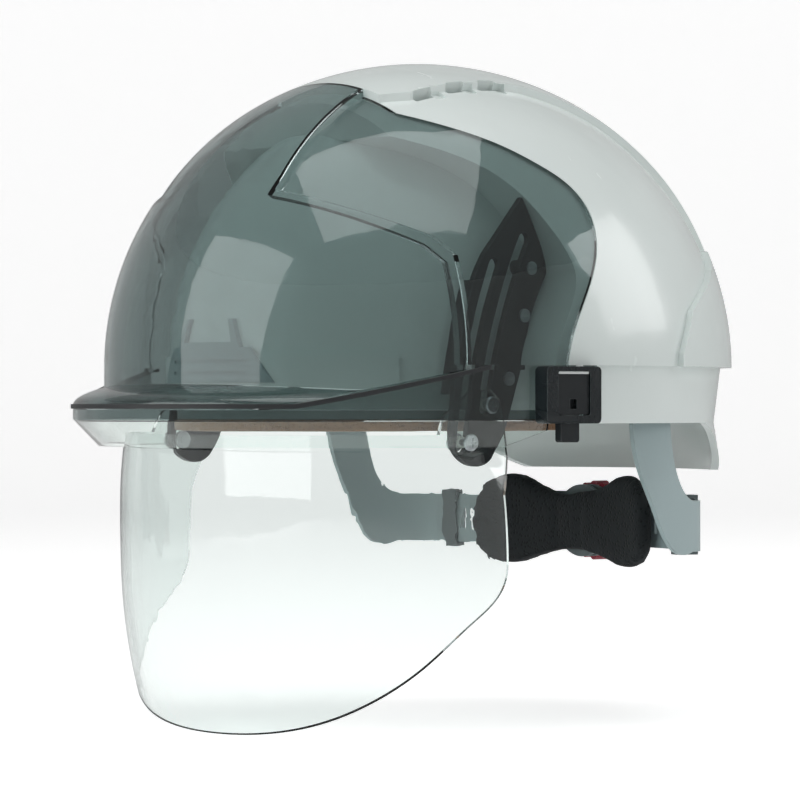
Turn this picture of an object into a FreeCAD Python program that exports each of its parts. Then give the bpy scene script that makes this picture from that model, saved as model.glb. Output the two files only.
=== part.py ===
"""Vented safety helmet with a smoke front cover and a clear face shield that swings up under it.

Frame: the origin is the middle of the head opening, on the lower edge of the headband.
+Z is up, the face looks along -Y and the wearer's left is +X. Millimetres.
"""
import FreeCAD, Part
import math
import os

from FreeCAD import Placement, Rotation, Vector

doc = FreeCAD.newDocument("hard_hat")
sheet = doc.addObject("Spreadsheet::Sheet", "Dimensions")

DIMENSIONS = [
    # dome: a half ellipsoid that stands on the rim line
    ("dome_half_width", 110.2),
    ("dome_half_length", 131.7),
    ("dome_height", 118.7),
    ("dome_middle_y", 9),
    ("rim_level", 25),
    ("raise_step", 2.8),
    ("shell_wall", 2.8),
    ("cover_wall", 1.8),
    ("seam_gap", 0.4),
    # recessed inner dome under the front cover
    ("inner_half_width", 86),
    ("inner_half_length", 105),
    ("inner_height", 108),
    ("inner_middle_y", 5),
    ("inner_bottom", 8),
    # skirt and nape of the shell
    ("skirt_bottom", 3),
    ("skirt_top_inset", 1.8),
    ("skirt_bottom_inset", 4.5),
    ("nape_bottom", -16.5),
    # peak
    ("peak_half_width", 113.2),
    ("peak_half_length", 152),
    ("peak_bottom", 4.3),
    ("peak_edge_level", 10),
    ("lip_bottom", -6),
    # face shield and its swing
    ("shield_half_width", 98.45),
    ("shield_tab_half_width", 91.1),
    ("shield_side_y", -34),
    ("shield_front_y", -111),
    ("shield_middle_z", -46),
    ("shield_upper_radius", 889),
    ("shield_lower_radius", 175),
    ("shield_wall", 1.8),
    ("swing_y", 181.2),
    ("swing_z", -26),
    ("swing_travel", 16.8),
    ("front_screw_y", -48),
    ("front_screw_z", -4),
    ("rear_screw_y", -36.5),
    ("rear_screw_z", 10),
    ("front_seat_x", 92.3),
    ("rear_seat_x", 91.15),
    ("guide_outer_x", 86.9),
    ("guide_wall", 2.5),
    ("slot_width", 5.2),
    ("bush_diameter", 4.6),
    ("screw_radius", 1.45),
    # headband and cradle
    ("band_half_width", 80),
    ("band_half_length", 97),
    ("band_wall", 1.6),
    ("band_height", 26),
    ("sweatband_wall", 3.4),
    ("strap_width", 19),
    ("strap_wall", 1.2),
    ("cradle_half_width", 77.5),
    ("cradle_half_length", 92),
    ("strap_end_level", 31),
    ("crown_level", 108),
    # nape ratchet
    ("nape_level", -38),
    ("nape_arc_y", -86),
    ("nape_arc_radius", 186),
    ("rack_wall", 1.4),
    ("keeper_turn", 21.6),
    ("arm_x", 92),
    ("arm_wall", 2.2),
    ("arm_pivot_y", 47),
    ("arm_pivot_z", 13),
    ("peg_radius", 3),
    ("running_gap", 0.06),
    ("case_wall", 2.6),
    ("axle_radius", 4),
    ("knob_radius", 16.5),
    ("knob_width", 10),
    ("pinion_teeth", 10),
    ("rack_pitch", 3.8),
]

for row, (alias, number) in enumerate(DIMENSIONS, start=1):
    sheet.set(f"A{row}", alias)
    sheet.set(f"B{row}", str(number))
    sheet.setAlias(f"B{row}", alias)
doc.recompute()


def size(alias):
    """A driving dimension, read back from the sheet."""
    return float(sheet.get(alias))


def bind(obj, **expressions):
    """Bind properties of an object to the sheet; a double underscore stands for a dot."""
    for prop, expression in expressions.items():
        text = expression
        for alias, _ in sorted(DIMENSIONS, key=lambda item: -len(item[0])):
            text = text.replace("{" + alias + "}", f"Dimensions.{alias}")
        obj.setExpression(prop.replace("__", "."), text)
    return obj


# ---------------------------------------------------------------- building blocks

def dome(name, half_width, half_length, height, middle_y="{dome_middle_y}"):
    """Upper half of an ellipsoid standing on the rim line."""
    solid = doc.addObject("Part::Ellipsoid", name)
    solid.Angle1 = 0
    return bind(solid, Radius1=height, Radius2=half_width, Radius3=half_length,
                Placement__Base__y=middle_y, Placement__Base__z="{rim_level}")


ALONG_X = Rotation(Vector(0, 1, 0), 90)
ALONG_Y = Rotation(Vector(1, 0, 0), -90)


def place(obj, x, y, z, turn=Rotation()):
    obj.Placement = Placement(Vector(), turn)
    return bind(obj, Placement__Base__x=x, Placement__Base__y=y, Placement__Base__z=z)


def rod(name, radius, length, x, y, z, turn):
    """Cylinder that starts at (x, y, z) and runs along the turned Z axis."""
    solid = bind(doc.addObject("Part::Cylinder", name), Radius=radius, Height=length)
    return place(solid, x, y, z, turn)


def cone(name, foot, tip, length, x, y, z, turn):
    solid = bind(doc.addObject("Part::Cone", name), Radius1=foot, Radius2=tip, Height=length)
    return place(solid, x, y, z, turn)


def box(name, length, width, height, x, y, z):
    """Box with its lowest corner at (x, y, z)."""
    solid = bind(doc.addObject("Part::Box", name), Length=length, Width=width, Height=height)
    return place(solid, x, y, z)


def washer(name, radius, hole, length, x, y, z, turn):
    """Flat ring with a round hole."""
    return cut(name, rod(name + "_blank", radius, length, x, y, z, turn),
               rod(name + "_hole", hole, length, x, y, z, turn))


def pair(name, *solids):
    """The solids and their mirror images on the other side of the helmet, as one piece."""
    half = doc.addObject("Part::Compound", name + "_half")
    half.Links = list(solids)
    other = mirrored(name + "_mirrored", half)
    whole = doc.addObject("Part::Compound", name)
    whole.Links = [half, other]
    return whole


def mirrored(name, source):
    other = doc.addObject("Part::Mirroring", name)
    other.Source = source
    other.Base = Vector()
    other.Normal = Vector(1, 0, 0)
    return other


def group(kind, name, *members):
    """Part::MultiFuse or Part::MultiCommon of the members."""
    joined = doc.addObject(kind, name)
    joined.Shapes = list(members)
    return joined


def fuse(name, *members):
    return group("Part::MultiFuse", name, *members)


def common(name, *members):
    return group("Part::MultiCommon", name, *members)


def cut(name, base, tool):
    result = doc.addObject("Part::Cut", name)
    result.Base, result.Tool = base, tool
    return result


def feature(name, shape, placement=None):
    """A piece whose shape is worked out in code."""
    piece = doc.addObject("Part::Feature", name)
    piece.Shape = shape
    if placement:
        piece.Placement = placement
    return piece


def outline_wire(points, curve=()):
    """Closed wire through the points; runs of point numbers in curve are splines."""
    edges = []
    count = len(points)
    index = 0
    starts = {first: last for first, last in curve}
    while index < count:
        last = starts.get(index, index + 1)
        run = [points[i % count] for i in range(index, last + 1)]
        if len(run) > 2:
            spline = Part.BSplineCurve()
            spline.interpolate(run)
            edges.append(spline.toShape())
        else:
            edges.append(Part.makeLine(run[0], run[1]))
        index = last
    return Part.Wire(edges)


def side_prism(points, half_width=200, curve=(), start=None):
    """Solid swept along X from a (y, z) outline."""
    begin = -half_width if start is None else start
    wire = outline_wire([Vector(begin, y, z) for y, z in points], curve)
    return Part.Face(wire).extrude(Vector(half_width - begin, 0, 0))


def plan_prism(points, bottom, top, curve=()):
    """Solid swept along Z from an (x, y) outline."""
    wire = outline_wire([Vector(x, y, bottom) for x, y in points], curve)
    return Part.Face(wire).extrude(Vector(0, 0, top - bottom))


def mirror_x(shape):
    return shape.mirror(Vector(0, 0, 0), Vector(1, 0, 0))


def both_sides(shape):
    return Part.makeCompound([shape, mirror_x(shape)])


def rounded_slab(width, height, depth, radius, centre, axis="y"):
    """Rounded rectangle block: width by height across the axis, depth along it."""
    block = Part.makeBox(width, depth, height, Vector(-width / 2, -depth / 2, -height / 2))
    edges = [e for e in block.Edges if abs(e.tangentAt(e.FirstParameter).y) > 0.9]
    block = block.makeFillet(radius, edges)
    if axis == "x":
        block.rotate(Vector(), Vector(0, 0, 1), 90)
    block.translate(Vector(*centre))
    return block


def disc(radius, length, centre, axis):
    """Cylinder that starts at centre and runs along axis."""
    return Part.makeCylinder(radius, length, Vector(*centre), Vector(*axis))


# ---------------------------------------------------------------- regions of the helmet

# Rear edge of the front cover in side view, from the rim up over the crown.
COVER_EDGE = [(-13, 25), (-4, 48), (4, 61), (10, 76), (10, 86), (5, 95), (-4, 102),
              (-17, 110), (-30, 116), (-44, 122)]
# Edge of the deep recess that the face shield stores in, under the cover.
RECESS_EDGE = [(-17, 25), (-8, 48), (-4, 58), (-10, 77), (-17, 89), (-25, 98),
               (-38, 106), (-52, 112)]
BEHIND = 220
ABOVE = 170


def behind(edge, shift=0.0, bottom=25.0):
    """Everything rearwards of an edge given in side view."""
    moved = [(y + shift, z) for y, z in edge]
    top_y = moved[-1][0] - 4
    points = moved + [(top_y, ABOVE), (BEHIND, ABOVE), (BEHIND, bottom - 60)]
    points += [(moved[0][0], bottom - 60)]
    return side_prism(points, curve=((0, len(moved) - 1),))


def ahead(edge, shift=0.0, bottom=25.0):
    """Everything forwards of an edge given in side view."""
    moved = [(y + shift, z) for y, z in edge]
    top_y = moved[-1][0] - 4
    points = moved + [(top_y, ABOVE), (-BEHIND, ABOVE), (-BEHIND, bottom - 60)]
    points += [(moved[0][0], bottom - 60)]
    return side_prism(points, curve=((0, len(moved) - 1),))


def front_raise(margin=0.0):
    """Raised T on the cover: a wide lower band and a stem that runs up to the crown."""
    low = side_prism([(-54 - margin, -40), (-54 - margin, 66 - margin), (-60 - margin, 73 - margin),
                      (-84, 85 - margin), (-98, 93 - margin), (-200, 100 - margin), (-200, -40)])
    stem = plan_prism([(-26 + margin, -40), (-35 + margin, -90), (-35 + margin, -200),
                       (35 - margin, -200), (35 - margin, -90), (26 - margin, -40)], 60, ABOVE)
    return low.fuse(stem)


def rear_raise():
    """Raised saddle of the shell: crown ridge and a wide band round the nape."""
    low = side_prism([(49, 20), (50, 30), (60, 47), (72, 54), (92, 64), (104, 72), (200, 80),
                      (200, 20)])
    stem = plan_prism([(-26, -60), (-42, -34), (-45, 20), (-56, 90), (-60, 200),
                       (60, 200), (56, 90), (45, 20), (42, -34), (26, -60)], 60, ABOVE)
    return low.fuse(stem)


# ---------------------------------------------------------------- white shell

def tapered_ring(top, bottom, top_inset, bottom_inset):
    """Skirt wall between two ellipses of the dome's outline."""
    def wire(level, inset):
        long_half = size("dome_half_length") - inset
        short_half = size("dome_half_width") - inset
        middle = Vector(0, size("dome_middle_y"), level)
        ellipse = Part.Ellipse(middle + Vector(0, long_half, 0),
                               middle + Vector(short_half, 0, 0), middle)
        return Part.Wire([ellipse.toShape()])

    wall = size("shell_wall")
    outer = Part.makeLoft([wire(top, top_inset), wire(bottom, bottom_inset)], True, True)
    inner = Part.makeLoft([wire(top, top_inset + wall), wire(bottom, bottom_inset + wall)],
                          True, True)
    return outer, inner


def skirt_ring(shrink):
    """Outer and inner blocks of the rear skirt, made smaller all round by shrink."""
    return tapered_ring(size("rim_level"), size("skirt_bottom"),
                        size("skirt_top_inset") + shrink, size("skirt_bottom_inset") + shrink)


def build_shell():
    outer = dome("shell_dome", "{dome_half_width}", "{dome_half_length}", "{dome_height}")
    raised = dome("shell_dome_raised", "{dome_half_width} + {raise_step}",
                  "{dome_half_length} + {raise_step}", "{dome_height} + {raise_step}")
    seat = dome("shell_dome_seat", "{dome_half_width} - {cover_wall} - {seam_gap}",
                "{dome_half_length} - {cover_wall} - {seam_gap}",
                "{dome_height} - {cover_wall} - {seam_gap}")
    cavity = dome("shell_dome_cavity", "{dome_half_width} - {shell_wall} - {cover_wall}",
                  "{dome_half_length} - {shell_wall}", "{dome_height} - {shell_wall} - {cover_wall}")
    inner = dome("shell_inner", "{inner_half_width}", "{inner_half_length}", "{inner_height}",
                 "{inner_middle_y}")
    inner_cavity = dome("shell_inner_cavity", "{inner_half_width} - {shell_wall}",
                        "{inner_half_length} - {shell_wall}", "{inner_height} - {shell_wall}",
                        "{inner_middle_y}")
    wall = size("shell_wall")
    gap = size("seam_gap")
    raised_part = common("shell_raised_part", raised, feature("shell_raise_region", rear_raise()))
    outside = fuse("shell_outside", outer, raised_part)
    rear = common("shell_rear", outside, feature("shell_rear_region", behind(COVER_EDGE, gap)))
    step = common("shell_step", seat, feature("shell_step_region", behind(RECESS_EDGE)))
    body = fuse("shell_body", rear, step, inner)
    rear_cavity = common("shell_rear_cavity", cavity,
                         feature("shell_cavity_region", behind(RECESS_EDGE, wall)))
    upper = cut("shell_upper", body, fuse("shell_cavities", rear_cavity, inner_cavity))

    cut("shell", upper, feature("shell_vents", vent_cuts()))


def build_skirt():
    """Skirt under the rim line: rear ring, nape flap, front wall and the steps between them."""
    wall = size("shell_wall")
    top, bottom = size("rim_level"), size("skirt_bottom")
    outer_ring, inner_ring = skirt_ring(0)
    rear_box = side_prism([(-1.5, 0), (-1.5, top), (BEHIND, top), (BEHIND, 0)])
    rear_inside = side_prism([(-1.5 + wall, 0), (-1.5 + wall, top), (BEHIND, top), (BEHIND, 0)])
    front_wall = Part.Face(oval_wire(size("inner_half_width"), size("inner_half_length"),
                                     size("inner_middle_y"), size("inner_bottom")))
    front_wall = front_wall.extrude(Vector(0, 0, top - size("inner_bottom")))
    front_wall = front_wall.common(side_prism([(-200, 0), (-200, top), (1.3, top), (1.3, 0)]))
    front_hole = Part.Face(oval_wire(size("inner_half_width") - wall,
                                     size("inner_half_length") - wall,
                                     size("inner_middle_y"), 0)).extrude(Vector(0, 0, top))
    flange = Part.Face(oval_wire(size("inner_half_width") + 1.5, size("inner_half_length") + 1.5,
                                 size("inner_middle_y"), 14)).extrude(Vector(0, 0, 15))
    flange = flange.common(side_prism([(-200, 0), (-200, 60), (-62, 60), (-62, 0)]))
    flange = flange.cut(Part.Face(oval_wire(size("inner_half_width") - 1.5,
                                            size("inner_half_length") - 1.5,
                                            size("inner_middle_y"), 0)).extrude(Vector(0, 0, 60)))
    skirt = outer_ring.common(rear_box).fuse(front_wall)
    skirt = skirt.cut(inner_ring.common(rear_inside)).cut(front_hole)

    flap_outer, flap_inner = tapered_ring(bottom, size("nape_bottom"), size("skirt_bottom_inset"),
                                          size("skirt_bottom_inset") - 3)
    flap_region = side_prism([(84, 10), (84, 3), (98, -3), (110, -11), (119, -16.5), (BEHIND, -16.5),
                              (BEHIND, 10)], curve=((1, 4),))
    flap = flap_outer.cut(flap_inner).common(flap_region)
    above = Part.makeBox(400, 400, 40, Vector(-200, -200, top))
    dome_room = ellipsoid(size("inner_half_width") + 0.05, size("inner_half_length") + 0.05,
                          size("inner_height") + 0.05, size("inner_middle_y"))
    flange = flange.cut(dome_room.common(above))
    return feature("shell_skirt", skirt.fuse([flange, flap]))


def oval_wire(half_width, half_length, middle_y, level):
    middle = Vector(0, middle_y, level)
    ellipse = Part.Ellipse(middle + Vector(0, half_length, 0), middle + Vector(half_width, 0, 0),
                           middle)
    return Part.Wire([ellipse.toShape()])


def vent_cuts():
    """Three slots through each shoulder of the crown ridge, each with a shallow lead-in."""
    cuts = []
    for middle_y, middle_z in ((-28, 131), (-12, 133.5), (4, 134.5)):
        slot = rounded_slab(4, 9, 26, 1.2, (0, 0, 0))
        slot.rotate(Vector(), Vector(1, 0, 0), 90)
        slot.rotate(Vector(), Vector(0, 1, 0), 24)
        slot.translate(Vector(43.5, middle_y, middle_z))
        cuts.append(slot)
        lead = rounded_slab(5, 5, 3.2, 1.2, (0, 0, 0))
        lead.rotate(Vector(), Vector(1, 0, 0), 90)
        lead.rotate(Vector(), Vector(0, 1, 0), 24)
        lead.translate(Vector(45, middle_y + 6.5, middle_z - 0.2))
        cuts.append(lead)
    return Part.makeCompound(cuts + [mirror_x(c) for c in cuts])


# ---------------------------------------------------------------- smoke cover, peak and lip

def build_cover():
    outer = dome("cover_dome", "{dome_half_width}", "{dome_half_length}", "{dome_height}")
    raised = dome("cover_dome_raised", "{dome_half_width} + {raise_step}",
                  "{dome_half_length} + {raise_step}", "{dome_height} + {raise_step}")
    hollow = dome("cover_hollow", "{dome_half_width} - {cover_wall}",
                  "{dome_half_length} - {cover_wall}", "{dome_height} - {cover_wall}")
    raised_hollow = dome("cover_raised_hollow", "{dome_half_width} + {raise_step} - {cover_wall}",
                         "{dome_half_length} + {raise_step} - {cover_wall}",
                         "{dome_height} + {raise_step} - {cover_wall}")
    outside = fuse("cover_outside", outer,
                   common("cover_raised_part", raised,
                          feature("cover_raise_region", front_raise())))
    inside = fuse("cover_inside", hollow,
                  common("cover_raised_inside", raised_hollow,
                         feature("cover_raise_inner_region", front_raise(3.0))))
    skin = cut("cover_skin", outside, inside)
    upper = common("cover_upper", skin, feature("cover_region", ahead(COVER_EDGE)))
    cover = fuse("front_cover", upper, feature("cover_lower", peak_shape()))
    return cover


def peak_shape():
    """Peak and side skirt of the cover, open underneath, with the bezel of each side slot."""
    wall = size("cover_wall")
    bottom, edge, rim = size("peak_bottom"), size("peak_edge_level"), size("rim_level")
    middle = size("dome_middle_y")
    width, length = size("peak_half_width"), size("peak_half_length")

    def block(inset, low, high, rear_y, front_top, rise_y):
        solid = Part.Face(oval_wire(width - inset, length - inset, middle, low))
        solid = solid.extrude(Vector(0, 0, high - low))
        profile = [(-200, low), (-200, front_top), (rise_y, front_top), (-49, high),
                   (rear_y, high), (rear_y, low)]
        return solid.common(side_prism(profile))

    shape = block(0, bottom, rim, -1.9, edge, -113)
    crown = Part.makeSphere(1, Vector(), Vector(0, 0, 1), 0, 90, 360)
    bulge = FreeCAD.Matrix()
    bulge.scale(width, length, 17)
    bulge.move(Vector(0, middle, edge))
    top = crown.transformGeometry(bulge)
    top_hollow = FreeCAD.Matrix()
    top_hollow.scale(width - wall, length - wall, 17 - wall)
    top_hollow.move(Vector(0, middle, edge))
    top_inside = crown.transformGeometry(top_hollow)
    front_half = side_prism([(-200, -10), (-200, 60), (-52, 60), (-52, -10)])
    shape = shape.fuse(top.common(front_half))
    inner_y = size("dome_half_length") + size("raise_step") - wall
    inner_x = size("dome_half_width") + size("raise_step") - wall
    well = Part.Face(oval_wire(inner_x, inner_y, middle, bottom - 1))
    well = well.extrude(Vector(0, 0, rim + 2 - bottom + 1 + 40))
    hollow = block(wall, bottom - 1, rim, -20, edge - wall, -118)
    shape = shape.cut(well).cut(hollow).cut(top_inside.common(front_half))

    # the dome's wall runs on down to the peak, and a ledge ties the side skirt to it
    wall_outer = Part.Face(oval_wire(inner_x + wall, inner_y + wall, middle, edge - wall))
    collar = wall_outer.extrude(Vector(0, 0, rim - edge + wall)).cut(well)
    collar = collar.common(side_prism([(-200, -10), (-200, 60), (-54, 60), (-54, -10)]))
    ledge_outer = Part.Face(oval_wire(width, length, middle, rim - wall))
    ledge_inner = Part.Face(oval_wire(size("dome_half_width") - wall,
                                      size("dome_half_length") - wall, middle, rim - wall))
    ledge = ledge_outer.cut(ledge_inner).extrude(Vector(0, 0, wall))
    ledge = ledge.common(side_prism([(-56, 0), (-56, 60), (-1.9, 60), (-1.9, 0)]))
    return shape.fuse([collar, ledge]).removeSplitter()


def build_lip():
    """Clear lip that closes the underside of the peak; it slopes down and in from the rim."""
    middle = size("dome_middle_y")
    top, bottom = size("peak_bottom") - 0.1, size("lip_bottom")
    width, length = size("peak_half_width"), size("peak_half_length")
    wall = 1.4

    def slope(inset):
        upper = oval_wire(width - 0.4 - inset, length - 0.4 - inset, middle, top)
        lower = oval_wire(width - 2.4 - inset, length - 13.4 - inset, middle, bottom)
        return Part.makeLoft([upper, lower], True, True)

    ring = slope(0).cut(slope(wall))
    region = side_prism([(-200, 20), (-200, -20), (-52, -20), (-40, -5.2), (-24, 0.5), (-24, 20)])
    return feature("peak_lip", ring.common(region))


def build_trim():
    """Black edge strip that runs along the top edge of the peak."""
    middle = size("dome_middle_y")
    width, length = size("peak_half_width"), size("peak_half_length")
    outer = Part.Face(oval_wire(width + 0.9, length + 0.9, middle, 0)).extrude(Vector(0, 0, 40))
    inner = Part.Face(oval_wire(width, length, middle, 0)).extrude(Vector(0, 0, 40))
    edge = size("peak_edge_level")
    path = [(-200, edge - 1.4), (-113, edge - 1.4), (-49, 23.4), (-49, 25), (-113, edge + 0.4),
            (-200, edge + 0.4)]
    return feature("peak_trim", outer.cut(inner).common(side_prism(path)))


# ---------------------------------------------------------------- face shield and its guides

SHIELD_WAIST_POWER = 1.8      # how suddenly the shield narrows towards its tabs
SHIELD_FOOT_INSET = 4.3       # narrowing of each side at the foot depth below its widest level
SHIELD_FOOT_DEPTH = 72
SHIELD_STRAIGHT_RUN = 8.66    # straight run of the side before the curve, at full rise
SHIELD_STRAIGHT_RISE = 40
SHIELD_ROUNDNESS = 2.07       # power of the oval: 2 is an ellipse


def shield_section(level):
    """Half width, front and start of the curved part of the shield at a level."""
    wide, narrow = size("shield_half_width"), size("shield_tab_half_width")
    middle_z, side = size("shield_middle_z"), size("shield_side_y")
    above = level - middle_z
    if above > 0:
        share = min(1.0, above / -middle_z)
        half = wide - (wide - narrow) * share ** SHIELD_WAIST_POWER
        radius = size("shield_upper_radius")
        straight = SHIELD_STRAIGHT_RUN * min(1.0, above / SHIELD_STRAIGHT_RISE)
    else:
        half = wide - SHIELD_FOOT_INSET * (above / SHIELD_FOOT_DEPTH) ** 2
        radius = size("shield_lower_radius")
        straight = 0
    front = size("shield_front_y") + radius - math.sqrt(radius ** 2 - above ** 2)
    return half, front, side - straight


def shield_wire(level):
    """Closed outline of the shield wall at a level: an oval that is open at the back."""
    half, front, bend = shield_section(level)
    side, wall = size("shield_side_y"), size("shield_wall")
    steps = 14

    def curve(inset):
        rear = [Vector(half - inset, y, level) for y in (side + 9, (side + 9 + bend) / 2)]
        points = list(rear)
        for step in range(2 * steps + 1):
            angle = math.pi * step / (2 * steps)
            run, rise = math.cos(angle), math.sin(angle)
            x = math.copysign(abs(run) ** (2 / SHIELD_ROUNDNESS), run) * (half - inset)
            y = bend - abs(rise) ** (2 / SHIELD_ROUNDNESS) * (bend - front - inset)
            points.append(Vector(x, y, level))
        points += [Vector(-point.x, point.y, level) for point in rear[::-1]]
        line = Part.BSplineCurve()
        line.interpolate(points)
        return line.toShape()

    outer, inner = curve(0), curve(wall)
    first = Part.makeLine(outer.Vertexes[0].Point, inner.Vertexes[0].Point)
    last = Part.makeLine(inner.Vertexes[-1].Point, outer.Vertexes[-1].Point)
    return Part.Wire([outer, last, inner, first])


def build_shield():
    levels = [-126, -110, -90, -68, -46, -28, -14, 0, 18]
    wall = Part.makeLoft([shield_wire(level) for level in levels], True, False)
    outline = [(-29, 4), (-30, -10), (-34, -24), (-34, -50), (-37, -60), (-50, -72), (-66, -88),
               (-82, -104), (-96, -116), (-108, -121.5), (-140, -122), (-140, -1), (-60, -1),
               (-57, 6), (-46, 15), (-36, 16), (-30.5, 12)]
    region = side_prism(outline, curve=((3, 9),))
    shield = wall.common(region)
    for y, z in screw_places():
        shield = shield.cut(disc(1.5, 240, (-120, y, z), (1, 0, 0)))
    front_y, front_z = screw_places()[0]
    seat = disc(3.5, 10, (size("front_seat_x") - 0.02, front_y, front_z), (1, 0, 0))
    return feature("visor", shield.cut(both_sides(seat)))


def screw_places():
    return [(size("front_screw_y"), size("front_screw_z")),
            (size("rear_screw_y"), size("rear_screw_z"))]


def swing(y, z, degrees):
    """Where a point of the shield goes when the shield is raised by an angle."""
    pivot = Vector(0, size("swing_y"), size("swing_z"))
    arm = Vector(0, y, z) - pivot
    turned = Rotation(Vector(-1, 0, 0), degrees).multVec(arm)
    return pivot + turned


def slot_solid(y, z):
    """Curved slot that a screw follows, a little longer than the travel at both ends."""
    half = size("slot_width") / 2
    angles = [-0.4, size("swing_travel") / 2, size("swing_travel") + 0.4]
    centre = Vector(0, size("swing_y"), size("swing_z"))
    radius = (Vector(0, y, z) - centre).Length
    low, mid, high = [swing(y, z, angle) for angle in angles]

    def offset(point, amount):
        ray = point - centre
        return point + ray * (amount / radius)

    outer = Part.Arc(offset(low, half), offset(mid, half), offset(high, half)).toShape()
    inner = Part.Arc(offset(high, -half), offset(mid, -half), offset(low, -half)).toShape()
    end = Part.Arc(offset(high, half), swing(y, z, angles[2] + math.degrees(half / radius)),
                   offset(high, -half)).toShape()
    start = Part.Arc(offset(low, -half), swing(y, z, angles[0] - math.degrees(half / radius)),
                     offset(low, half)).toShape()
    wire = Part.Wire([outer, end, inner, start])
    wire.translate(Vector(70, 0, 0))
    return Part.Face(wire).extrude(Vector(50, 0, 0))


GUIDE_OUTLINE = [(-41.0, 58), (-45.2, 45), (-49.2, 30), (-51.6, 12), (-52.8, 3), (-52, -6),
                 (-43, -13), (-33, -10.5), (-25, 2), (-17, 25), (-13, 42), (-2, 64), (8, 78),
                 (4, 90), (-16, 90), (-28, 76), (-36, 67), (-39, 62)]


def build_guides():
    outer_x, wall = size("guide_outer_x"), size("guide_wall")
    plate = side_prism(GUIDE_OUTLINE, half_width=outer_x, start=outer_x - wall,
                       curve=((3, 7), (10, 12)))
    gap = size("cover_wall") + 0.5
    under_cover = ellipsoid(size("dome_half_width") - gap, size("dome_half_length") - gap,
                            size("dome_height") - gap, size("dome_middle_y"))
    rail = side_prism([(-51.8, 14), (-46, 42), (-41.5, 57), (-39, 57), (-43.5, 42), (-49.5, 14)],
                      half_width=outer_x - wall, start=outer_x - wall - 5)
    studs = [disc(3.4, 40, (outer_x - wall - 40, y, z), (1, 0, 0))
             for y, z in GUIDE_STUDS]
    plate = plate.common(under_cover).cut(behind(RECESS_EDGE, -0.4))
    for y, z in screw_places():
        plate = plate.cut(slot_solid(y, z))
    core = ellipsoid(size("inner_half_width"), size("inner_half_length"), size("inner_height"),
                     size("inner_middle_y"))
    lower_core = Part.Face(oval_wire(size("inner_half_width"), size("inner_half_length"),
                                     size("inner_middle_y"), -40)).extrude(Vector(0, 0, 66))
    studs = Part.makeCompound(studs).cut(core).cut(lower_core)
    holes = [disc(1.3, 60, (outer_x - 50, y, z), (1, 0, 0)) for y, z in GUIDE_STUDS]
    plate = plate.fuse([rail.cut(core).cut(lower_core)] + studs.Solids)
    plate = plate.cut(Part.makeCompound(holes))
    return feature("guide_plate_left", plate), feature("guide_plate_right", mirror_x(plate))


GUIDE_STUDS = [(-12.5, 62), (-16, 44), (-24, 20)]


def build_guide_screws():
    """Flat-headed screws that hold the guide plates to the inner dome."""
    screws = []
    for number, (y, z) in enumerate(GUIDE_STUDS, start=1):
        name = f"guide_screw_{number}"
        shank = rod(name + "_shank", "1.2", "3.6", "{guide_outer_x} - 3.6", str(y), str(z), ALONG_X)
        head = rod(name + "_head", "2.6", "1", "{guide_outer_x}", str(y), str(z), ALONG_X)
        drive = box(name + "_drive", "0.6", "3.2", "0.6", "{guide_outer_x} + 0.6", f"{y} - 1.6",
                    f"{z} - 0.3")
        screws.append(cut(name, fuse(name + "_blank", shank, head), drive))
    return pair("guide_screws", *screws)


def build_shield_hardware():
    """Screw, sliding bush and nut at each of the four fixing points of the shield."""
    inner_face = "{guide_outer_x} - {guide_wall}"
    screws, bushes, nuts = [], [], []
    for corner in ("front", "rear"):
        y, z = "{%s_screw_y}" % corner, "{%s_screw_z}" % corner
        name, seat = corner + "_screw", "{%s_seat_x}" % corner
        shank = rod(name + "_shank", "{screw_radius}", f"{seat} - ({inner_face}) + 2.3",
                    f"{inner_face} - 2.2", y, z, ALONG_X)
        head = rod(name + "_head", "3.3", "0.8", seat, y, z, ALONG_X)
        crown = cone(name + "_crown", "3.3", "2.8", "0.5", f"{seat} + 0.8", y, z, ALONG_X)
        blank = fuse(name + "_blank", shank, head, crown)
        cross = fuse(name + "_cross",
                     box(name + "_slot_a", "1", "0.8", "3.8", f"{seat} + 0.75", f"{y} - 0.4",
                         f"{z} - 1.9"),
                     box(name + "_slot_b", "1", "3.8", "0.8", f"{seat} + 0.75", f"{y} - 1.9",
                         f"{z} - 0.4"))
        screws.append(cut(name, blank, cross))
        bushes.append(washer(corner + "_bush", "{bush_diameter} / 2", "{screw_radius} + 0.05",
                             "{guide_wall} + 0.5", f"{inner_face} - 0.3", y, z, ALONG_X))
        nuts.append(washer(corner + "_nut", "3.6", "{screw_radius} + 0.05", "1.5",
                           f"{inner_face} - 1.9", y, z, ALONG_X))
    return [pair("visor_screws", *screws), pair("visor_bushes", *bushes),
            pair("visor_nuts", *nuts)]


# ---------------------------------------------------------------- side slots

SLOT_MIDDLE_Y = -16.5


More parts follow.
